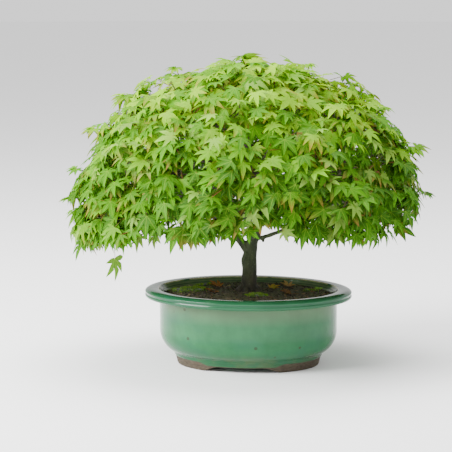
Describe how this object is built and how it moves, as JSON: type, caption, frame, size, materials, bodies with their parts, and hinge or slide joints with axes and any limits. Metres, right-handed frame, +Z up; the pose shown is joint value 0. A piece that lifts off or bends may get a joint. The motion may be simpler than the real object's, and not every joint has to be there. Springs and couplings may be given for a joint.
{
  "type": "potted bonsai tree",
  "caption": "Small-leaved maple bonsai with a broad domed crown on one upright trunk, in an oval green-glazed pot with a rolled lip and an arched foot, with soil, moss and fallen leaves.",
  "frame": {"origin": "on the ground under the middle of the pot, which is also the middle of the crown", "axes": "+X along the pot's long axis and the crown's greatest width, -Y towards the tree's best side, +Z up"},
  "size_m": [0.5012, 0.4491, 0.4427],
  "materials": {
    "glaze": "gloss",
    "screen_plastic": "matte",
    "soil": "matte",
    "moss": "matte",
    "dry_leaf": "matte",
    "sprout": "matte",
    "bark": "matte",
    "leaf": "satin"
  },
  "bodies": {
    "root": {"drain_screen_left": "screen_plastic", "drain_screen_right": "screen_plastic", "fallen_leaf_0": "dry_leaf", "fallen_leaf_1": "dry_leaf", "fallen_leaf_2": "dry_leaf", "fallen_leaf_3": "dry_leaf", "fallen_leaf_4": "dry_leaf", "hanging_leaf": "leaf", "leaf_spray_00": "leaf", "leaf_spray_01": "leaf", "leaf_spray_02": "leaf", "leaf_spray_03": "leaf", "leaf_spray_04": "leaf", "leaf_spray_05": "leaf", "leaf_spray_06": "leaf", "leaf_spray_07": "leaf", "leaf_spray_08": "leaf", "leaf_spray_09": "leaf", "leaf_spray_10": "leaf", "leaf_spray_11": "leaf", "leaf_spray_12": "leaf", "leaf_spray_13": "leaf", "leaf_spray_14": "leaf", "leaf_spray_15": "leaf", "leaf_spray_16": "leaf", "leaf_spray_17": "leaf", "leaf_spray_18": "leaf", "leaf_spray_19": "leaf", "leaf_spray_20": "leaf", "leaf_spray_21": "leaf", "leaf_spray_22": "leaf", "leaf_spray_23": "leaf", "leaf_spray_24": "leaf", "leaf_spray_25": "leaf", "leaf_spray_26": "leaf", "leaf_spray_27": "leaf", "leaf_spray_28": "leaf", "leaf_spray_29": "leaf", "leaf_spray_30": "leaf", "leaf_spray_31": "leaf", "leaf_spray_32": "leaf", "leaf_spray_33": "leaf", "leaf_spray_34": "leaf", "leaf_spray_35": "leaf", "leaf_spray_36": "leaf", "leaf_spray_37": "leaf", "leaf_spray_38": "leaf", "leaf_spray_39": "leaf", "leaf_spray_40": "leaf", "moss_0": "moss", "moss_1": "moss", "moss_2": "moss", "moss_3": "moss", "pot": "glaze", "seedling": "sprout", "soil": "soil", "trunk_and_branches": "bark"}
  },
  "joints": []
}
